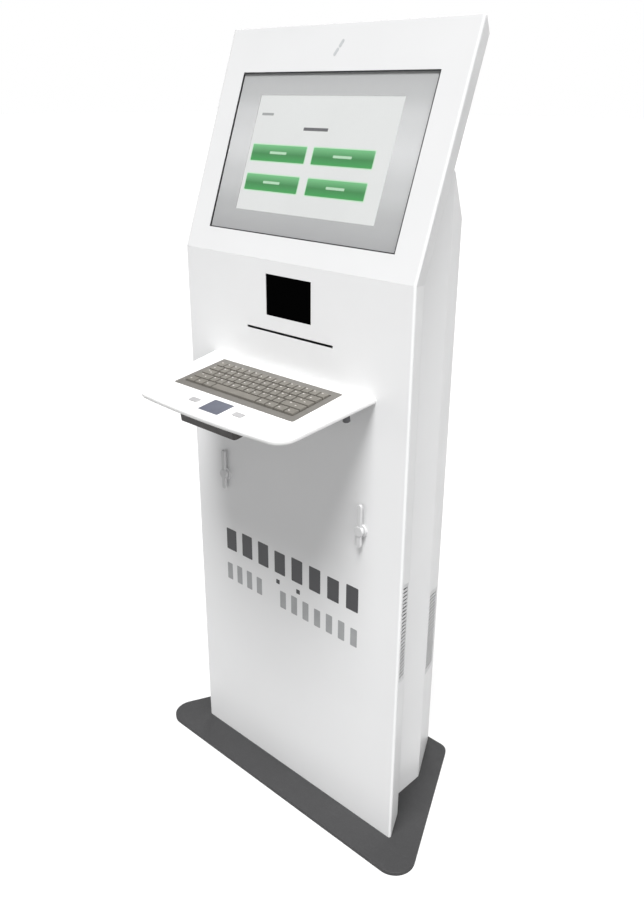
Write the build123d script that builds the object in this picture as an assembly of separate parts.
from build123d import *
import os
from math import cos, radians, sin, tan

# Free-standing self-service kiosk: a floor plate, a bent sheet-metal column with a leaning touch-screen
# head, a reader window, a paper slot and a sloping keyboard shelf.
# Millimetres. +Z up, X = 0 is the symmetry plane, Y = 0 is the outer face of the column's front, which
# faces -Y, and Z = 0 is the underside of the floor plate.

# Sheet metal
SHEET = 2.0
BEND = 3.0
EDGE_BEND = 4.0

# Floor plate
PLATE_T = 8.0
PLATE_FRONT_Y = -69.0
PLATE_REAR_Y = 299.0
PLATE_FRONT_HALF = 380.0
PLATE_REAR_HALF = 208.0
PLATE_FRONT_R = 42.0
PLATE_REAR_R = 25.0
ANCHOR_X = 100.0
ANCHOR_Y = (70.0, 220.0)
ANCHOR_R = 6.0

# Column front and head shell
CORNER_X = 282.3
FLANGE_DEPTH = 65.0
FLANGE_BACK_X = 249.5
LIP_HALF = 216.0
BEND_Z = 1132.0
LEAN = 20.1
HEAD_L = 411.0

# Rear cabinet
SIDE_X = 217.0
SIDE_REAR_Y = 179.0
REAR_Y = 294.0
REAR_HALF = 158.0
JAMB_HALF = 136.0
JAMB_DEPTH = 20.0
JOINT_FLANGE_X = 245.0
ROOF_Z = 1196.0
ROOF_TILT = 38.7

# Floor frame and its bolts
FRAME_HALF = 160.0
FRAME_REAR_Y = 270.0
FRAME_H = 40.0
FRAME_T = 3.0
FRAME_FLANGE = 40.0
BOLT_R = 4.0
BOLT_HEAD_R = 6.5
BOLT_HEAD_T = 5.5
BOLT_X = 138.0
BOLT_Y = (25.0, 136.0, 248.0)

# Shelves inside the column
SHELF_HALF = 213.0
TONGUE_HALF = 150.0
TONGUE_Y = 205.0
PRINTER_SHELF_Z = 940.0
LOWER_SHELF_Z = 622.0

# Rear door, its hinges and lock
DOOR_HALF = 134.5
DOOR_Z = (130.0, 1176.0)
DOOR_FOLD = 14.0
HINGE_X = 135.25
HINGE_Y = 298.0
HINGE_Z = (260.0, 655.0, 1050.0)
KNUCKLE_R = 3.5
KNUCKLE_H = 30.0
PIN_R = 1.5
RUNNING = 0.05
LEAF_T = 1.5
LEAF_W = 20.0
LOCK_X = -112.0
LOCK_Z = 655.0
LOCK_R = 9.4
PLUG_R = 5.0
CAM_L = 38.0

# Kick plate with the power inlet and its rocker switch
KICK_Z = 127.0
INLET_X = 60.0
INLET_Z = 70.0
INLET_W = 52.0
INLET_H = 32.0
SOCKET_X = 47.0
ROCKER_X = 77.0
ROCKER_Y = 290.0
ROCKER_TILT = 8.0

# Ventilation inserts
FRONT_VENT = (370.0, 583.0)
FRONT_VENT_W = 54.0
FRONT_VENT_SHARE = 0.53
REAR_VENT = (251.0, 452.0)
REAR_VENT_W = 100.0
REAR_VENT_SHARE = 0.47
VENT_SLANT = 24.0
VENT_RIM = 3.0
VENT_CORNER_R = 2.5
LOUVRE_PITCH = 8.0
LOUVRE_H = 2.0
LOUVRE_TILT = 28.0
LOUVRE_MARGIN = 5.0

# Display, in the head's own frame: across, depth behind the face, distance up the slope from the bend
SCREEN_W = 446.0
SCREEN_H = 283.0
SCREEN_S = 187.0
SCREEN_GAP = 2.0
ACTIVE_W = 334.0
ACTIVE_H = 207.0
GLASS_T = 3.0
GLASS_GAP = 0.1
HOUSING_W = 420.0
HOUSING_H = 262.0
HOUSING_BACK = 44.0

# Reader window
READER_W = 113.0
READER_H = 75.5
READER_Z = 1069.75

# Printer
SLOT_W = 218.0
SLOT_H = 5.0
SLOT_Z = 1002.7
CHUTE_W = 228.0
CHUTE_HALF = 9.0
CHUTE_TAPER_Y = 24.0
CHUTE_REAR_Y = 31.5
CHUTE_TIP = 1.2
ROLLER_Y = 40.0
FEED_R = 9.85
PINCH_R = 7.0
NIP = 0.15
ROLLER_HALF = 104.0
FEED_SHAFT_R = 4.0
PINCH_SHAFT_R = 3.0
CHASSIS_HALF = 119.0
CHASSIS_T = 3.0
ROLL_Y = 150.0
ROLL_Z = 996.0
ROLL_R = 52.0
ROLL_CORE_R = 12.5
SPINDLE_R = 6.0

# Keyboard shelf, in its own frame: across, distance along the slope (the user is at -Y), height
DESK_Z = 935.4
DESK_SLOPE = 8.0
DESK_HALF = 209.0
DESK_TAPER = 0.089
DESK_FRONT = -215.5
DESK_CORNER_Y = -207.2
DESK_T = 12.0
DESK_CORNER_R = 37.0
DESK_NOSE_R = 5.0
PAN_HALF = 156.0
PAN_FRONT = -150.0
PAN_R = 12.0
PAN_D = 20.0
PAD_BOX_HALF = 72.0
PAD_BOX_FRONT = -203.0
ARM_X = 185.0
ARM_HALF = 4.0
ARM_FRONT = -58.0
ARM_D = 8.0
CLAMP_R = 6.5
CLAMP_D = 18.0
TRAY_W = 307.0
TRAY_D = 123.0
TRAY_Y = -83.0
TRAY_RIM = 4.0
KEY_PITCH = 18.5
KEY_GAP = 1.5
KEY_TOP = 4.0
KEY_BOTTOM = -1.5
KEY_TAPER = 9.0
KEY_STEM_R = 2.0
KEY_STEM_HOLE_R = 2.4
WELL_FLOOR = -6.0
TRAY_BOTTOM = -14.0
KEY_UNITS = (
    (1.0,) * 15,
    (1.5,) + (1.0,) * 12 + (1.5,),
    (1.75,) + (1.0,) * 11 + (2.25,),
    (2.25,) + (1.0,) * 10 + (2.75,),
    (1.25,) * 3 + (6.25,) + (1.25,) * 4,
)
SPACE_UNITS = 6.25
PAD_W = 50.0
PAD_D = 41.0
PAD_Y = -175.5
PAD_T = 1.7
PAD_SINK = 0.3
BUTTON_X = 57.0
BUTTON_W = 22.0
BUTTON_D = 12.0
BUTTON_GAP = 0.4

# Quarter-turn latches on the column front
LATCH_X = 185.0
LATCH_Z = 677.0
LATCH_BOSS_R = 13.0
LATCH_BOSS_T = 4.0
LATCH_UP = 53.0
LATCH_DOWN = 33.0
LATCH_W = 10.0
LATCH_SHAFT_R = 4.0

# Exhaust fan under the roof
FAN_SIZE = 92.0
FAN_T = 25.0
FAN_BORE_R = 43.0
FAN_Y = 215.0
FAN_BLADES = 7
FAN_HUB_R = 18.0

HEAD = Plane(
    origin=(0, 0, BEND_Z), x_dir=(1, 0, 0), z_dir=(0, sin(radians(LEAN)), cos(radians(LEAN)))
)
MITRE = Plane(
    origin=(0, 0, BEND_Z),
    x_dir=(1, 0, 0),
    z_dir=(0, sin(radians(LEAN / 2)), cos(radians(LEAN / 2))),
)
ROOF = Plane(
    origin=(0, REAR_Y, ROOF_Z),
    x_dir=(1, 0, 0),
    z_dir=(0, sin(radians(ROOF_TILT)), cos(radians(ROOF_TILT))),
)
DESK = Plane(
    origin=(0, 0, DESK_Z),
    x_dir=(1, 0, 0),
    z_dir=(0, -sin(radians(DESK_SLOPE)), cos(radians(DESK_SLOPE))),
)
BIG = 900.0


def block(x, y, z):
    """Box between two corners, each argument a (low, high) pair."""
    return Pos(x[0], y[0], z[0]) * Box(x[1] - x[0], y[1] - y[0], z[1] - z[0], align=(Align.MIN,) * 3)


def centred(mid, half):
    """The (low, high) pair about a middle."""
    return (mid - half, mid + half)


def rod(radius, start, end, axis="x", at=(0.0, 0.0)):
    """Cylinder along one axis, from start to end, through the point `at` of the other two axes."""
    turned = {"x": Rot(0, 90, 0), "y": Rot(-90, 0, 0), "z": Rot(0, 0, 0)}[axis]
    place = {
        "x": Pos(start, *at),
        "y": Pos(at[0], start, at[1]),
        "z": Pos(*at, start),
    }[axis]
    base = (Align.CENTER, Align.CENTER, Align.MIN)
    return place * turned * Cylinder(radius, end - start, align=base)


def both_sides(shape):
    """A shape and its mirror image in the symmetry plane, as one group."""
    return Compound(children=[*shape.solids(), *mirror(shape, about=Plane.YZ).solids()])


def moved_left(points, distance):
    """Points of an open path shifted to its left, mitred at the corners."""
    path = [Vector(*point) for point in points]
    headings = [(end - start).normalized() for start, end in zip(path, path[1:])]
    normals = [Vector(-heading.Y, heading.X) for heading in headings]
    corners = [
        corner + (before + after) * (distance / (1 + before.dot(after)))
        for corner, before, after in zip(path[1:], normals, normals[1:])
    ]
    return [path[0] + normals[0] * distance, *corners, path[-1] + normals[-1] * distance]


def bend_radii(points, inner_radius):
    """Radii of a folded sheet's two faces at each corner: the path's own, then those to its left."""
    path = [Vector(*point) for point in points]
    own, left = [], []
    for before, corner, after in zip(path, path[1:], path[2:]):
        turns_left = (corner - before).cross(after - corner).Z > 0
        own.append(inner_radius + SHEET if turns_left else inner_radius)
        left.append(inner_radius if turns_left else inner_radius + SHEET)
    return own, left


def folded_sheet(points, z, inner_radius=BEND):
    """Folded sheet standing on edge: its path seen from above, with its thickness to the left."""
    own, left = bend_radii(points, inner_radius)
    other = moved_left(points, SHEET)
    path = [Vector(*point) for point in points]
    outline = [
        FilletPolyline(*path, radius=own),
        Line(path[-1], other[-1]),
        FilletPolyline(*reversed(other), radius=left[::-1]),
        Line(other[0], path[0]),
    ]
    return Pos(0, 0, z[0]) * extrude(make_face(Curve() + outline), z[1] - z[0])


def prism(points, z):
    """Upright prism over a polygon seen from above."""
    return Pos(0, 0, z[0]) * extrude(Polygon(*points, align=None), z[1] - z[0])


def rounded_plate(width, depth, radius, z, at=(0.0, 0.0)):
    """Flat plate with rounded corners."""
    return Pos(*at, z[0]) * extrude(RectangleRounded(width, depth, radius), z[1] - z[0])


def upright_frame(outer, inner, y, mid_z):
    """Rectangular ring standing up, as (width, height) outside and inside, over a (low, high) in Y."""
    ring = block(centred(0, outer[0] / 2), y, centred(mid_z, outer[1] / 2))
    return ring - block(centred(0, inner[0] / 2), (y[0] - 1, y[1] + 1), centred(mid_z, inner[1] / 2))


def solid_of(shape):
    """The largest solid of a shape."""
    return max(shape.solids(), key=lambda solid: solid.volume)


# ---------------------------------------------------------------- floor


def base_plate():
    outline = Polygon(
        (-PLATE_FRONT_HALF, PLATE_FRONT_Y),
        (PLATE_FRONT_HALF, PLATE_FRONT_Y),
        (PLATE_REAR_HALF, PLATE_REAR_Y),
        (-PLATE_REAR_HALF, PLATE_REAR_Y),
        align=None,
    )
    plate = extrude(outline, PLATE_T)
    upright = plate.edges().filter_by(Axis.Z)
    plate = fillet(upright.filter_by_position(Axis.Y, -BIG, 0), PLATE_FRONT_R)
    upright = plate.edges().filter_by(Axis.Z)
    plate = fillet(upright.filter_by_position(Axis.Y, PLATE_REAR_Y - 1, BIG), PLATE_REAR_R)
    plate = chamfer(plate.edges().group_by(Axis.Z)[-1], 0.8)
    for x in (-ANCHOR_X, ANCHOR_X):
        for y in ANCHOR_Y:
            plate -= rod(ANCHOR_R, -1, PLATE_T + 1, "z", (x, y))
    for x in (-BOLT_X, BOLT_X):
        for y in BOLT_Y:
            plate -= rod(BOLT_R, PLATE_T - 6, PLATE_T + 1, "z", (x, y))
    return plate


def floor_frame():
    y = (SHEET, FRAME_REAR_Y)
    z = (PLATE_T, PLATE_T + FRAME_H)
    wall = block(centred(0, FRAME_HALF), y, z)
    inside_y = (y[0] + FRAME_T, y[1] - FRAME_T)
    wall -= block(centred(0, FRAME_HALF - FRAME_T), inside_y, (z[0] + FRAME_T, z[1] + 1))
    opening_y = (y[0] + FRAME_FLANGE, y[1] - FRAME_FLANGE)
    wall -= block(centred(0, FRAME_HALF - FRAME_FLANGE), opening_y, (z[0] - 1, z[1]))
    for x in (-BOLT_X, BOLT_X):
        for bolt_y in BOLT_Y:
            wall -= rod(BOLT_R, z[0] - 1, z[0] + FRAME_T + 1, "z", (x, bolt_y))
    return wall


def base_bolts():
    seat = PLATE_T + FRAME_T
    bolt = rod(BOLT_R, PLATE_T - 6, seat, "z")
    head = extrude(RegularPolygon(BOLT_HEAD_R, 6), BOLT_HEAD_T)
    head = chamfer(head.edges().group_by(Axis.Z)[-1], 0.6)
    bolt += Pos(0, 0, seat) * head
    return Compound(children=[solid_of(Pos(x, y, 0) * bolt) for x in (-BOLT_X, BOLT_X) for y in BOLT_Y])


# ---------------------------------------------------------------- shells


def front_path():
    """Outer path of the front's section: lips, flanges and face, with the bends not yet rounded."""
    right = [(CORNER_X, 0), (FLANGE_BACK_X, FLANGE_DEPTH), (LIP_HALF, FLANGE_DEPTH)]
    return [(-x, y) for x, y in reversed(right)] + right


def flange_frame(start, end, share, mid_z):
    """Plane on a flange's outer face, a share of the way back: local X is up and Z is outward."""
    run = Vector(end[0] - start[0], end[1] - start[1])
    along = run.normalized()
    middle = Vector(*start, mid_z) + run * share
    return Plane(origin=middle, x_dir=(0, 0, 1), z_dir=(along.Y, -along.X, 0))


def front_vent_frame():
    ends = (CORNER_X, 0), (FLANGE_BACK_X, FLANGE_DEPTH)
    return flange_frame(*ends, FRONT_VENT_SHARE, sum(FRONT_VENT) / 2)


def rear_vent_frame():
    ends = (SIDE_X, SIDE_REAR_Y), (REAR_HALF, REAR_Y)
    return flange_frame(*ends, REAR_VENT_SHARE, sum(REAR_VENT) / 2)


def slanted_plate(length, width, radius, z):
    """Plate with its long sides upright and its ends falling toward the back."""
    fall = tan(radians(VENT_SLANT)) * width / 2
    outline = Polygon(
        (-length / 2 - fall, -width / 2),
        (length / 2 - fall, -width / 2),
        (length / 2 + fall, width / 2),
        (-length / 2 + fall, width / 2),
        align=None,
    )
    return Pos(0, 0, z[0]) * extrude(fillet(outline.vertices(), radius), z[1] - z[0])


def vent_cut(frame, heights, width):
    cut = slanted_plate(heights[1] - heights[0], width, VENT_CORNER_R, (-SHEET - 6, 6))
    return both_sides(frame * cut)


def vent_pair(frame, heights, width):
    """Louvred insert that fills a flange's opening from behind, on both sides."""
    length = heights[1] - heights[0]
    insert = slanted_plate(length - 0.4, width - 0.4, VENT_CORNER_R, (-SHEET - 2, -0.6))
    insert += slanted_plate(length + 2 * VENT_RIM, width + 2 * VENT_RIM, VENT_CORNER_R, (-SHEET - 2, -SHEET))
    count = int((length - 2 * LOUVRE_MARGIN) // LOUVRE_PITCH)
    slat_w = (width - 2 * LOUVRE_MARGIN) / cos(radians(VENT_SLANT))
    slat = Rot(0, 0, -VENT_SLANT) * Rot(0, LOUVRE_TILT, 0) * Box(LOUVRE_H, slat_w, 5 * SHEET)
    places = [(row - (count - 1) / 2) * LOUVRE_PITCH for row in range(count)]
    insert -= [Pos(up, 0, -SHEET) * slat for up in places]
    return both_sides(frame * insert)


def column_front():
    shell = folded_sheet(front_path(), (PLATE_T, BEND_Z), EDGE_BEND - SHEET)
    shell -= MITRE * Box(BIG, BIG, BIG, align=(Align.CENTER, Align.CENTER, Align.MIN))
    shell -= block(centred(0, READER_W / 2), (-1, SHEET + 1), centred(READER_Z, READER_H / 2))
    shell -= block(centred(0, SLOT_W / 2), (-1, SHEET + 1), centred(SLOT_Z, SLOT_H / 2))
    shell -= vent_cut(front_vent_frame(), FRONT_VENT, FRONT_VENT_W)
    for x in (-LATCH_X, LATCH_X):
        shell -= rod(LATCH_SHAFT_R + 1, -1, SHEET + 1, "y", (x, LATCH_Z))
    return shell


def head_shell():
    shell = folded_sheet(front_path(), (-60, HEAD_L), EDGE_BEND - SHEET)
    lid = prism(front_path()[1:5], (HEAD_L - SHEET, HEAD_L))
    lid = fillet(lid.edges().filter_by(Axis.Z).filter_by_position(Axis.Y, -1, 1), EDGE_BEND)
    shell += lid
    shell = fillet(
        shell.edges().filter_by(Axis.X).filter_by_position(Axis.Z, HEAD_L - 0.1, HEAD_L + 0.1)
        .filter_by_position(Axis.Y, -0.1, 0.1),
        1.5,
    )
    opening = (SCREEN_W + 2 * SCREEN_GAP, SCREEN_H + 2 * SCREEN_GAP)
    shell -= block(centred(0, opening[0] / 2), (-1, SHEET + 1), centred(SCREEN_S, opening[1] / 2))
    shell = HEAD * shell
    return shell - MITRE * Box(BIG, BIG, BIG, align=(Align.CENTER, Align.CENTER, Align.MAX))


def inside_head():
    """Everything in front of the plane on the backs of the head's lips."""
    return HEAD * block(centred(0, BIG), (-BIG, FLANGE_DEPTH), centred(0, BIG))


def above_roof(below=0.0):
    """Everything above the roof's outer face, or above a face parallel to it and lower."""
    return ROOF * block(centred(0, BIG), centred(0, BIG), (-below, BIG))


def side_panel():
    path = [
        (JOINT_FLANGE_X, FLANGE_DEPTH + SHEET),
        (SIDE_X, FLANGE_DEPTH + SHEET),
        (SIDE_X, SIDE_REAR_Y),
        (REAR_HALF, REAR_Y),
        (JAMB_HALF, REAR_Y),
        (JAMB_HALF, REAR_Y - JAMB_DEPTH),
    ]
    panel = folded_sheet(path, (PLATE_T, ROOF_Z + 160))
    panel -= vent_cut(rear_vent_frame(), REAR_VENT, REAR_VENT_W)
    panel -= inside_head()
    return solid_of(panel - above_roof(SHEET))


def roof_panel():
    outline = [
        (-SIDE_X, FLANGE_DEPTH),
        (SIDE_X, FLANGE_DEPTH),
        (SIDE_X, SIDE_REAR_Y),
        (REAR_HALF, REAR_Y),
        (-REAR_HALF, REAR_Y),
        (-SIDE_X, SIDE_REAR_Y),
    ]
    column = prism(outline, (ROOF_Z - 40, ROOF_Z + 200))
    slab = ROOF * block(centred(0, BIG), centred(0, BIG), (-SHEET, 0))
    roof = column & slab
    header = block(centred(0, JAMB_HALF - 0.2), (REAR_Y - SHEET, REAR_Y), (DOOR_Z[1] + 1.5, ROOF_Z + 2))
    roof += header - above_roof()
    roof -= inside_head()
    for row in range(-3, 4):
        slot = Box(70 - 8 * abs(row), 5, 20)
        roof -= fan_plane() * Pos(0, row * 11, 0) * slot
    return solid_of(roof)


def head_back_cover():
    back = (FLANGE_DEPTH, FLANGE_DEPTH + SHEET)
    cover = block(centred(0, FLANGE_BACK_X - 3), back, (0, HEAD_L - 3))
    cover = fillet(cover.edges().filter_by(Axis.Y).group_by(Axis.Z)[-1], 6)
    for row in range(5):
        for column in range(-4, 5):
            slot = block(centred(column * 42, 15), (back[0] - 1, back[1] + 1), centred(340 - row * 14, 2.5))
            cover -= slot
    return solid_of(HEAD * cover - not_above_roof())


def not_above_roof():
    return ROOF * block(centred(0, BIG), centred(0, BIG), (-BIG, 0))


def rear_kick_plate():
    across = centred(0, JAMB_HALF - 0.2)
    plate = block(across, (REAR_Y - SHEET, REAR_Y), (PLATE_T, KICK_Z))
    plate += block(across, (FRAME_REAR_Y + 0.5, REAR_Y - SHEET), (PLATE_T, PLATE_T + SHEET))
    plate += block(across, (REAR_Y - 14, REAR_Y - SHEET), (KICK_Z - SHEET, KICK_Z))
    inlet = block(centred(INLET_X, INLET_W / 2), (REAR_Y - 4, REAR_Y + 1), centred(INLET_Z, INLET_H / 2))
    return plate - inlet


# ---------------------------------------------------------------- rear door


def rear_door():
    door = block(centred(0, DOOR_HALF), (REAR_Y - DOOR_FOLD, REAR_Y), DOOR_Z)
    door = fillet(door.edges().group_by(Axis.Y)[-1], 1.2)
    door -= block(
        centred(0, DOOR_HALF - SHEET),
        (REAR_Y - DOOR_FOLD - 1, REAR_Y - SHEET),
        (DOOR_Z[0] + SHEET, DOOR_Z[1] - SHEET),
    )
    for row in range(9):
        z = DOOR_Z[0] + 70 + row * 14
        for x in (-60, 0, 60):
            door -= block(centred(x, 22), (REAR_Y - 4, REAR_Y + 1), centred(z, 3))
    return door - rod(LOCK_R, REAR_Y - 4, REAR_Y + 1, "y", (LOCK_X, LOCK_Z))


def hinge_leaf(side, z):
    """Leaf and knuckle, to the door's side (-1) or the frame's side (1) of the hinge line."""
    near, far = HINGE_X + side * 1.25, HINGE_X + side * LEAF_W
    leaf = block((min(near, far), max(near, far)), (REAR_Y, REAR_Y + LEAF_T + 0.3), z)
    leaf += rod(KNUCKLE_R, z[0], z[1], "z", (HINGE_X, HINGE_Y))
    leaf -= rod(PIN_R + RUNNING, z[0] - 1, z[1] + 1, "z", (HINGE_X, HINGE_Y))
    for hole_z in (z[0] + 7, z[1] - 7):
        leaf -= Pos(HINGE_X + side * 13, REAR_Y + LEAF_T + 0.3, hole_z) * Rot(90, 0, 0) * Cone(0.6, 2.4, 1.8)
    return solid_of(leaf)


def frame_hinge_leaves():
    return Compound(children=[hinge_leaf(1, (z - KNUCKLE_H, z - 0.5)) for z in HINGE_Z])


def door_hinge_leaves():
    return Compound(children=[hinge_leaf(-1, (z, z + KNUCKLE_H)) for z in HINGE_Z])


def hinge_pins():
    pins = []
    for z in HINGE_Z:
        pin = rod(PIN_R, z - KNUCKLE_H, z + KNUCKLE_H - 2, "z", (HINGE_X, HINGE_Y))
        pin += rod(KNUCKLE_R - 0.6, z - KNUCKLE_H - 2, z - KNUCKLE_H, "z", (HINGE_X, HINGE_Y))
        pins.append(solid_of(pin))
    return Compound(children=pins)


def lock_body():
    at = (LOCK_X, LOCK_Z)
    body = rod(LOCK_R, REAR_Y - 18, REAR_Y, "y", at)
    rose = rod(LOCK_R + 3, REAR_Y, REAR_Y + 3, "y", at)
    rose = fillet(rose.edges().group_by(Axis.Y)[-1], 1.2)
    return body + rose - rod(PLUG_R + RUNNING, REAR_Y - 20, REAR_Y + 4, "y", at)


def lock_cam():
    """Key plug with the cam behind it, hanging down: unlocked."""
    back = REAR_Y - JAMB_DEPTH - 1
    at = (LOCK_X, LOCK_Z)
    plug = rod(PLUG_R, back, REAR_Y + 2.6, "y", at)
    plug -= block(centred(LOCK_X, 0.6), (REAR_Y - 6, REAR_Y + 3), centred(LOCK_Z, 3.4))
    cam = rod(8, back - 3.5, back, "y", at)
    cam += block(centred(LOCK_X, 6.5), (back - 3.5, back), (LOCK_Z - CAM_L, LOCK_Z))
    return plug + cam


# ---------------------------------------------------------------- power inlet


def power_inlet():
    """Mains inlet with its switch housing in one moulding."""
    y_out = REAR_Y + 3
    body = block(centred(INLET_X, INLET_W / 2), (REAR_Y - 30, REAR_Y), centred(INLET_Z, INLET_H / 2))
    lip = block(centred(INLET_X, INLET_W / 2 + 5), (REAR_Y, y_out), centred(INLET_Z, INLET_H / 2 + 4))
    lip = chamfer(lip.edges().group_by(Axis.Y)[-1], 1)
    body += lip
    socket = block(centred(SOCKET_X, 12), (REAR_Y - 17, y_out + 1), centred(INLET_Z, 8.5))
    socket = chamfer(socket.edges().filter_by(Axis.Y).group_by(Axis.Z)[-1], 4)
    body -= socket
    body -= block(centred(ROCKER_X, 6.8), (REAR_Y - 13, y_out + 1), centred(INLET_Z, 10.4))
    for x, z in ((-7, -2), (0, 2.5), (7, -2)):
        body += block(centred(SOCKET_X + x, 1), (REAR_Y - 17, REAR_Y - 1), centred(INLET_Z + z, 2))
    return body


def power_switch():
    """Rocker, pressed in at its lower end."""
    side = Plane.YZ * Polygon((-7, -8.5), (6.5, -9), (5, 0), (6.5, 9), (-7, 8.5), align=None)
    rocker = extrude(side, 6.3, both=True)
    rocker = fillet(rocker.edges().filter_by(Axis.X).group_by(Axis.Y)[-1], 1)
    return Pos(ROCKER_X, ROCKER_Y, INLET_Z) * Rot(ROCKER_TILT, 0, 0) * rocker


# ---------------------------------------------------------------- display


def display_gasket():
    glass = (SCREEN_W, SCREEN_H)
    edge = (SCREEN_W + 2 * SCREEN_GAP, SCREEN_H + 2 * SCREEN_GAP)
    strip = upright_frame(edge, glass, (0.3, SHEET + 1.5), SCREEN_S)
    strip += upright_frame((edge[0] + 12, edge[1] + 12), glass, (SHEET, SHEET + 1.5), SCREEN_S)
    return HEAD * strip


def touch_glass():
    y = (0.5, 0.5 + GLASS_T)
    glass = block(centred(0, SCREEN_W / 2), y, centred(SCREEN_S, SCREEN_H / 2))
    return HEAD * chamfer(glass.edges().group_by(Axis.Y)[0], 0.5)


def display_bezel():
    y = (0.5 + GLASS_T + GLASS_GAP, 1.5 + GLASS_T)
    return HEAD * upright_frame((SCREEN_W, SCREEN_H), (ACTIVE_W, ACTIVE_H), y, SCREEN_S)


def lcd_panel():
    y = (5.2, 13.0)
    panel = block(centred(0, ACTIVE_W / 2 + 8), y, centred(SCREEN_S, ACTIVE_H / 2 + 8))
    panel = chamfer(panel.edges().group_by(Axis.Y)[0], 0.6)
    panel += block(centred(0, 120), (13.0, 15.0), centred(SCREEN_S - 95, 14))
    return HEAD * panel


def display_housing():
    y = (1.5 + GLASS_T, HOUSING_BACK)
    housing = block(centred(0, HOUSING_W / 2), y, centred(SCREEN_S, HOUSING_H / 2))
    housing = fillet(housing.edges().group_by(Axis.Y)[-1], 4)
    wall = 1.5
    housing -= block(
        centred(0, HOUSING_W / 2 - wall), (y[0] - 1, y[1] - wall), centred(SCREEN_S, HOUSING_H / 2 - wall)
    )
    housing += block(centred(0, ACTIVE_W / 2 + 20), (15.2, 17.0), centred(SCREEN_S, HOUSING_H / 2 - 1))
    for row in range(6):
        for x in (-120, 0, 120):
            z = SCREEN_S - 50 + row * 20
            housing -= block(centred(x, 36), (y[1] - 4, y[1] + 1), centred(z, 3))
    return HEAD * housing


def display_brackets():
    path = [
        (HOUSING_W / 2, 40),
        (HOUSING_W / 2, 18),
        (233, 18),
        (233, SHEET),
        (250, SHEET),
    ]
    bracket = folded_sheet(path, centred(SCREEN_S, 118), 1.0)
    return both_sides(HEAD * bracket)


# ---------------------------------------------------------------- reader


def reader_window():
    pane = block(centred(0, READER_W / 2 - 0.2), (0.9, 3.8), centred(READER_Z, READER_H / 2 - 0.2))
    return chamfer(pane.edges().group_by(Axis.Y)[0], 0.5)


def reader_bezel():
    outer = (READER_W + 22, READER_H + 22)
    frame = upright_frame(outer, (READER_W, READER_H), (SHEET, 3.8), READER_Z)
    frame += upright_frame(outer, (READER_W - 14, READER_H - 14), (3.8, 6.0), READER_Z)
    for x in (-1, 1):
        for z in (-1, 1):
            at = (x * (outer[0] / 2 - 6), READER_Z + z * (outer[1] / 2 - 6))
            frame += rod(3.5, 6, 12, "y", at)
    return frame


def reader_module():
    body = block(centred(0, 53), (6, 14), centred(READER_Z, 34))
    core = block(centred(0, 40), (14, 46), centred(READER_Z, 27))
    core = fillet(core.edges().group_by(Axis.Y)[-1], 4)
    body += core
    body -= block(centred(0, 46), (5, 9), centred(READER_Z, 28))
    body += rod(9, 7.5, 9, "y", (0, READER_Z))
    for x in (-30, 30):
        body += rod(4, 7.5, 9, "y", (x, READER_Z))
    body += block(centred(22, 8), (46, 52), centred(READER_Z, 5))
    return body


# ---------------------------------------------------------------- printer


def paper_chute():
    """Guides above and below the paper's way out, tapering into the rollers' nip, joined by end cheeks."""
    cheek = (SLOT_W / 2 + 0.5, CHUTE_W / 2)
    chute = both_sides(block(cheek, (SHEET, CHUTE_REAR_Y), centred(SLOT_Z, SLOT_H / 2)))
    for side in (-1, 1):
        near, far = SLOT_Z + side * SLOT_H / 2, SLOT_Z + side * CHUTE_HALF
        tip = near + side * CHUTE_TIP
        section = Polygon(
            (SHEET, near), (CHUTE_REAR_Y, near), (CHUTE_REAR_Y, tip), (CHUTE_TAPER_Y, far), (SHEET, far),
            align=None,
        )
        chute += extrude(Plane.YZ * section, CHUTE_W / 2, both=True)
    return chute


def feed_axis():
    return (ROLLER_Y, SLOT_Z - NIP - FEED_R)


def pinch_axis():
    return (ROLLER_Y, SLOT_Z + NIP + PINCH_R)


def feed_roller():
    sleeve = rod(FEED_R, -ROLLER_HALF, ROLLER_HALF, "x", feed_axis())
    return sleeve - rod(FEED_SHAFT_R, -BIG, BIG, "x", feed_axis())


def feed_shaft():
    shaft = rod(FEED_SHAFT_R, -CHASSIS_HALF - 2, CHASSIS_HALF + 12, "x", feed_axis())
    wheel = rod(11, CHASSIS_HALF + 2, CHASSIS_HALF + 8, "x", feed_axis())
    teeth = 22
    for tooth in range(teeth):
        notch = Pos(CHASSIS_HALF + 5, 0, 11) * Box(8, 1.5, 3)
        wheel -= Pos(0, *feed_axis()) * Rot(360 / teeth * tooth, 0, 0) * notch
    return shaft + wheel


def pinch_roller():
    roller = rod(PINCH_R, -ROLLER_HALF, ROLLER_HALF, "x", pinch_axis())
    return roller + rod(PINCH_SHAFT_R, -CHASSIS_HALF - 2, CHASSIS_HALF + 2, "x", pinch_axis())


def printer_chassis():
    z = (PRINTER_SHELF_Z, 1024)
    y = (28, 92)
    inside = CHASSIS_HALF - CHASSIS_T
    chassis = block(centred(0, CHASSIS_HALF), y, z)
    chassis -= block(centred(0, inside), (y[0] - 1, y[1] - CHASSIS_T), (z[0] + CHASSIS_T, z[1] + 1))
    chassis -= block(centred(0, inside), (y[1] - CHASSIS_T - 1, y[1] + 1), (985, z[1] + 1))
    chassis -= rod(FEED_SHAFT_R + RUNNING, -BIG, BIG, "x", feed_axis())
    chassis -= rod(PINCH_SHAFT_R + RUNNING, -BIG, BIG, "x", pinch_axis())
    chassis += block(centred(0, inside), (56, 84), (950, 984))
    return chassis


def print_head():
    half = CHASSIS_HALF - CHASSIS_T
    head = block(centred(0, half), (56, 82), (1006.5, 1010))
    for fin in range(5):
        head += block(centred(0, half - 8), centred(60 + fin * 4.5, 1), (1010, 1020))
    return head


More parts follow.
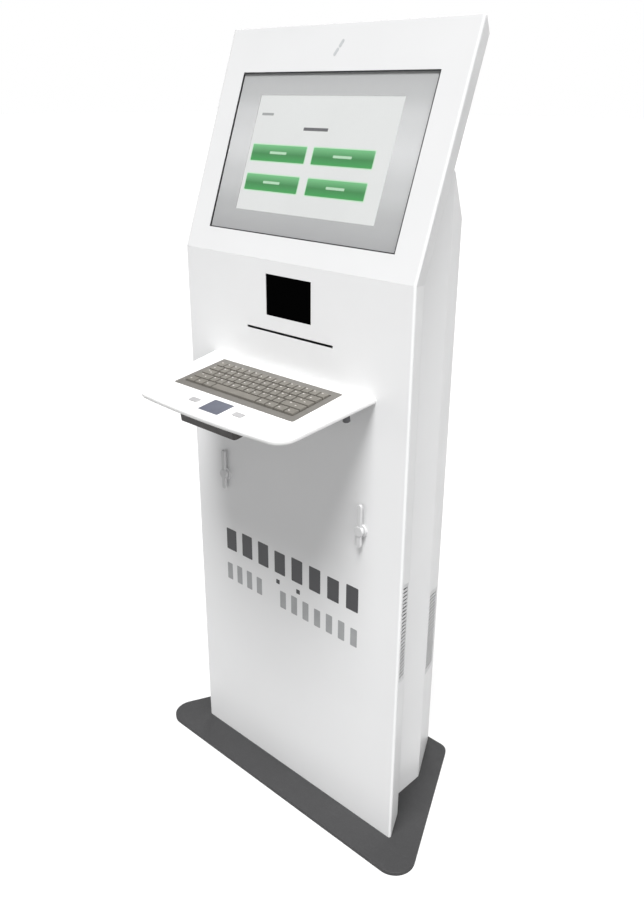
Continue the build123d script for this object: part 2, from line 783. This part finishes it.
def paper_roll():
    roll = rod(ROLL_R, -105, 105, "x", (ROLL_Y, ROLL_Z))
    return roll - rod(ROLL_CORE_R, -BIG, BIG, "x", (ROLL_Y, ROLL_Z))


def roll_spindle():
    at = (ROLL_Y, ROLL_Z)
    return rod(ROLL_CORE_R, -108, 108, "x", at) + rod(SPINDLE_R, -118, 118, "x", at)


def roll_brackets():
    inner = 112
    side = Plane.YZ * Pos(ROLL_Y, 0) * Polygon(
        (-34, PRINTER_SHELF_Z), (34, PRINTER_SHELF_Z), (14, ROLL_Z + 12), (-14, ROLL_Z + 12), align=None
    )
    bracket = Pos(inner, 0, 0) * extrude(side, CHASSIS_T)
    bracket += block(
        (inner + CHASSIS_T, inner + 22), centred(ROLL_Y, 34), (PRINTER_SHELF_Z, PRINTER_SHELF_Z + CHASSIS_T)
    )
    bracket -= rod(SPINDLE_R + RUNNING, 0, BIG, "x", (ROLL_Y, ROLL_Z))
    return both_sides(bracket)


def equipment_shelf(top, front_y):
    """Shelf across the column with turned-up ends against the side panels."""
    shelf = block(centred(0, SHELF_HALF), (front_y, SIDE_REAR_Y - 2), (top - SHEET, top))
    shelf += block(centred(0, TONGUE_HALF), (SIDE_REAR_Y - 2, TONGUE_Y), (top - SHEET, top))
    for side in (-1, 1):
        x = sorted((side * SHELF_HALF, side * (SHELF_HALF + SHEET)))
        shelf += block(x, (FLANGE_DEPTH + 6, SIDE_REAR_Y - 2), (top - SHEET, top + 25))
    return shelf


def printer_shelf():
    shelf = equipment_shelf(PRINTER_SHELF_Z, SHEET)
    flange = (PRINTER_SHELF_Z - 45, PRINTER_SHELF_Z)
    return shelf + block(centred(0, SHELF_HALF), (SHEET, 2 * SHEET), flange)


def lower_shelf():
    shelf = equipment_shelf(LOWER_SHELF_Z, SHEET)
    flange = (LOWER_SHELF_Z - SHEET, LATCH_Z + 32)
    shelf += block(centred(0, SHELF_HALF), (SHEET, 2 * SHEET), flange)
    for x in (-LATCH_X, LATCH_X):
        shelf -= block(centred(x, 7), (0, 3 * SHEET), centred(LATCH_Z, 24))
    for row in range(6):
        shelf -= block(centred(0, 70), centred(40 + row * 24, 3), (LOWER_SHELF_Z - 5, LOWER_SHELF_Z + 1))
    return shelf


# ---------------------------------------------------------------- computer and supply


def mini_pc():
    """Fanless computer with a finned lid, on rubber feet."""
    floor = LOWER_SHELF_Z
    case = block((-160, 40), (34, 174), (floor + 4, floor + 40))
    case = fillet(case.edges().filter_by(Axis.Z), 4)
    for fin in range(16):
        case += block(centred(-153 + fin * 12.4, 2), (38, 170), (floor + 40, floor + 54))
    for x in (-146, 26):
        for y in (48, 160):
            case += rod(8, floor, floor + 4, "z", (x, y))
    for port in range(5):
        case -= block(centred(-140 + port * 34, 10), (168, 175), centred(floor + 22, 5))
    return case


def power_supply():
    floor = LOWER_SHELF_Z
    case = block((72, 170), (34, 174), (floor, floor + 40))
    for row in range(7):
        for column in range(4):
            at = (86 + row * 12, 60 + column * 26)
            case -= rod(3.5, floor + 36, floor + 41, "z", at)
    case += block((80, 162), (174, 184), (floor + 6, floor + 22))
    return case


def fan_plane():
    """Plane on the roof's outer face at the fan's centre."""
    down = (REAR_Y - FAN_Y) / cos(radians(ROOF_TILT))
    return ROOF * Pos(0, -down, 0)


def fan_frame():
    top = -SHEET
    low = top - FAN_T
    frame = rounded_plate(FAN_SIZE, FAN_SIZE, 5, (low, top)) - rod(FAN_BORE_R, low - 1, top + 1, "z")
    frame += rod(FAN_HUB_R - 1, low, low + 4, "z")
    for arm in range(4):
        spoke = block((8, FAN_BORE_R + 2), centred(0, 2), (low, low + 3))
        frame += Rot(0, 0, 45 + 90 * arm) * spoke
    frame -= rod(PIN_R + RUNNING, low - 1, low + 5, "z")
    for x in (-1, 1):
        for y in (-1, 1):
            frame -= rod(2.2, low - 1, top + 1, "z", (x * (FAN_SIZE / 2 - 5), y * (FAN_SIZE / 2 - 5)))
    return fan_plane() * frame


def fan_rotor():
    low = -SHEET - FAN_T + 4.6
    rotor = rod(FAN_HUB_R, low, low + 17, "z")
    rotor = fillet(rotor.edges().group_by(Axis.Z)[-1], 2)
    for blade in range(FAN_BLADES):
        vane = Pos(FAN_HUB_R + 10.5, 0, low + 8.5) * Rot(38, 0, 0) * Box(25, 20, 1.6)
        rotor += Rot(0, 0, 360 / FAN_BLADES * blade) * vane
    rotor += rod(PIN_R, low - 4, low, "z")
    return fan_plane() * rotor


# ---------------------------------------------------------------- keyboard shelf


def behind_front():
    """Everything behind the column's front face."""
    return block(centred(0, BIG), (0, BIG), centred(DESK_Z, BIG))


def shelf_outline(extra=20):
    """Plan of the keyboard shelf: narrower toward the user, with a bowed front between round corners."""
    back_half = DESK_HALF + DESK_TAPER * extra
    corner_half = DESK_HALF + DESK_TAPER * DESK_CORNER_Y
    left, right = (-corner_half, DESK_CORNER_Y), (corner_half, DESK_CORNER_Y)
    outline = [
        Line((-back_half, extra), left),
        ThreePointArc(left, (0, DESK_FRONT), right),
        Line(right, (back_half, extra)),
        Line((back_half, extra), (-back_half, extra)),
    ]
    plan = make_face(Curve() + outline)
    return fillet(plan.vertices().group_by(Axis.Y)[0], DESK_CORNER_R)


def shelf_top():
    top = Pos(0, 0, -DESK_T) * extrude(shelf_outline(), DESK_T)
    rims = top.edges().group_by(Axis.Z)
    rims = rims[0] + rims[-1]
    top = fillet(rims.filter_by_position(Axis.Y, -BIG, 10), DESK_NOSE_R)
    hole = (TRAY_W - 2 * TRAY_RIM + 0.4, TRAY_D - 2 * TRAY_RIM + 0.4)
    top -= rounded_plate(*hole, 2, (-DESK_T - 1, 1), (0, TRAY_Y))
    top -= rounded_plate(PAD_W + 0.4, PAD_D + 0.4, 2, (-PAD_T - PAD_SINK, 1), (0, PAD_Y))
    for x in (-BUTTON_X, BUTTON_X):
        size = (BUTTON_W + 2 * BUTTON_GAP, BUTTON_D + 2 * BUTTON_GAP)
        top -= rounded_plate(*size, 3, (-DESK_T - 1, 1), (x, PAD_Y))
    return DESK * top - behind_front()


def pan_block(shrink, z):
    """Shelf pan with the touchpad box in front of it, all its walls drawn in by the same amount."""
    behind = 20
    size = (2 * (PAN_HALF - shrink), behind - PAN_FRONT - shrink)
    pan = rounded_plate(*size, PAN_R, z, (0, (behind + PAN_FRONT + shrink) / 2))
    size = (2 * (PAD_BOX_HALF - shrink), PAN_FRONT - PAD_BOX_FRONT + PAN_R)
    return pan + rounded_plate(*size, PAN_R / 2, z, (0, (PAN_FRONT + PAN_R + PAD_BOX_FRONT) / 2 + shrink))


def shelf_housing():
    pan = pan_block(0, (-DESK_T - PAN_D, -DESK_T))
    inside = pan_block(SHEET, (-DESK_T - PAN_D + SHEET, 1))
    return DESK * (pan - inside) - behind_front()


def shelf_brackets():
    """Arm under each side of the shelf, with a clamp screw at its end and a foot on the column."""
    arm = block(centred(ARM_X, ARM_HALF), (ARM_FRONT, 20), (-DESK_T - ARM_D, -DESK_T))
    clamp = rod(CLAMP_R, -DESK_T - CLAMP_D, -DESK_T, "z", (ARM_X, ARM_FRONT + CLAMP_R))
    arm += chamfer(clamp.edges().group_by(Axis.Z)[0], 1)
    arm = DESK * arm - behind_front()
    arm += block((ARM_X - ARM_HALF - 16, ARM_X - ARM_HALF), (-4, 0), (908, 922))
    return both_sides(arm)


def keyboard_tray():
    tray = rounded_plate(TRAY_W, TRAY_D, 3, (0, 1))
    tray = fillet(tray.edges().group_by(Axis.Z)[-1], 0.6)
    tray += rounded_plate(TRAY_W - 2 * TRAY_RIM, TRAY_D - 2 * TRAY_RIM, 2, (TRAY_BOTTOM, 0))
    columns, rows = sum(KEY_UNITS[0]), len(KEY_UNITS)
    tray -= rounded_plate(columns * KEY_PITCH + 2, rows * KEY_PITCH + 2, 1.5, (WELL_FLOOR, 2))
    for row in range(rows):
        for x, y, _ in key_places(row):
            tray -= rod(KEY_STEM_HOLE_R, TRAY_BOTTOM + 2, WELL_FLOOR + 1, "z", (x, y))
    return DESK * Pos(0, TRAY_Y, 0) * tray


def key_places(row):
    """Centre and width of each key of a row, row 0 being the one farthest from the user."""
    left = -sum(KEY_UNITS[row]) / 2 * KEY_PITCH
    y = ((len(KEY_UNITS) - 1) / 2 - row) * KEY_PITCH
    places = []
    for units in KEY_UNITS[row]:
        width = units * KEY_PITCH
        places.append((left + width / 2, y, width))
        left += width
    return places


def key_cap(place):
    x, y, width = place
    base = RectangleRounded(width - KEY_GAP, KEY_PITCH - KEY_GAP, 1.2)
    cap = extrude(base, KEY_TOP - KEY_BOTTOM, taper=KEY_TAPER)
    cap = fillet(cap.edges().group_by(Axis.Z)[-1], 0.7)
    cap = Pos(0, 0, KEY_BOTTOM) * cap
    cap += rod(KEY_STEM_R, WELL_FLOOR - 3, KEY_BOTTOM, "z")
    return solid_of(DESK * Pos(x, y + TRAY_Y, 0) * cap)


def is_space(place):
    return place[2] > (SPACE_UNITS - 0.1) * KEY_PITCH


def key_row(row):
    return Compound(children=[key_cap(place) for place in key_places(row) if not is_space(place)])


def space_bar():
    return next(key_cap(place) for place in key_places(len(KEY_UNITS) - 1) if is_space(place))


def touchpad():
    pad = rounded_plate(PAD_W, PAD_D, 1.8, (-PAD_T - PAD_SINK, -PAD_SINK), (0, PAD_Y))
    return DESK * pad


def touchpad_button(side):
    at = (side * BUTTON_X, PAD_Y)
    button = rounded_plate(BUTTON_W, BUTTON_D, 2.6, (-DESK_T - 0.3, 1.2), at)
    button = fillet(button.edges().group_by(Axis.Z)[-1], 0.8)
    button += rounded_plate(BUTTON_W + 4, BUTTON_D - 2, 3, (-DESK_T - 2.3, -DESK_T - 0.3), at)
    return DESK * button


# ---------------------------------------------------------------- latches


def latch_bosses():
    at = (LATCH_X, LATCH_Z)
    boss = rod(LATCH_BOSS_R, -LATCH_BOSS_T, 0, "y", at)
    boss = fillet(boss.edges().group_by(Axis.Y)[0], 1.2)
    return both_sides(boss - rod(LATCH_SHAFT_R + RUNNING, -BIG, BIG, "y", at))


def latch_lever(side):
    """Lever, shaft and locking bar of one quarter-turn latch, with the lever up: locked."""
    front = -LATCH_BOSS_T - 0.4
    bar = Pos(0, (LATCH_UP - LATCH_DOWN) / 2) * SlotOverall(LATCH_UP + LATCH_DOWN, LATCH_W, rotation=90)
    lever = extrude(Plane.XZ * bar, 5)
    lever = fillet(lever.edges().group_by(Axis.Y)[0], 1)
    hub = rod(LATCH_BOSS_R - 3, -6, 0, "y")
    hub = fillet(hub.edges().group_by(Axis.Y)[0], 1)
    lever = Pos(0, front, 0) * (lever + hub)
    lever += rod(LATCH_SHAFT_R, front, 2 * SHEET + 0.4, "y")
    lever += block(centred(0, 20), (2 * SHEET + 0.4, 2 * SHEET + 3.4), centred(0, 5))
    return Pos(side * LATCH_X, 0, LATCH_Z) * lever


def parts():
    """Every node's name and shape."""
    pieces = {
        "base_plate": base_plate(),
        "floor_frame": floor_frame(),
        "base_bolts": base_bolts(),
        "column_front": column_front(),
        "head_shell": head_shell(),
        "side_panel_right": side_panel(),
        "side_panel_left": mirror(side_panel(), about=Plane.YZ),
        "roof_panel": roof_panel(),
        "head_back_cover": head_back_cover(),
        "rear_kick_plate": rear_kick_plate(),
        "front_vents": vent_pair(front_vent_frame(), FRONT_VENT, FRONT_VENT_W),
        "rear_vents": vent_pair(rear_vent_frame(), REAR_VENT, REAR_VENT_W),
        "rear_door": rear_door(),
        "frame_hinge_leaves": frame_hinge_leaves(),
        "door_hinge_leaves": door_hinge_leaves(),
        "hinge_pins": hinge_pins(),
        "lock_body": lock_body(),
        "lock_cam": lock_cam(),
        "power_inlet": power_inlet(),
        "power_switch": power_switch(),
        "display_gasket": display_gasket(),
        "touch_glass": touch_glass(),
        "display_bezel": display_bezel(),
        "lcd_panel": lcd_panel(),
        "display_housing": display_housing(),
        "display_brackets": display_brackets(),
        "reader_window": reader_window(),
        "reader_bezel": reader_bezel(),
        "reader_module": reader_module(),
        "paper_chute": paper_chute(),
        "printer_chassis": printer_chassis(),
        "print_head": print_head(),
        "feed_roller": feed_roller(),
        "feed_shaft": feed_shaft(),
        "pinch_roller": pinch_roller(),
        "paper_roll": paper_roll(),
        "roll_spindle": roll_spindle(),
        "roll_brackets": roll_brackets(),
        "printer_shelf": printer_shelf(),
        "lower_shelf": lower_shelf(),
        "mini_pc": mini_pc(),
        "power_supply": power_supply(),
        "fan_frame": fan_frame(),
        "fan_rotor": fan_rotor(),
        "shelf_top": shelf_top(),
        "shelf_housing": shelf_housing(),
        "shelf_brackets": shelf_brackets(),
        "keyboard_tray": keyboard_tray(),
        "space_bar": space_bar(),
        "touchpad": touchpad(),
        "touchpad_button_left": touchpad_button(-1),
        "touchpad_button_right": touchpad_button(1),
        "latch_bosses": latch_bosses(),
        "latch_lever_left": latch_lever(-1),
        "latch_lever_right": latch_lever(1),
    }
    for row in range(len(KEY_UNITS)):
        pieces[f"key_row_{row + 1}"] = key_row(row)
    return pieces


os.makedirs("parts", exist_ok=True)
for node, shape in parts().items():
    export_step(shape, f"parts/{node}.step")
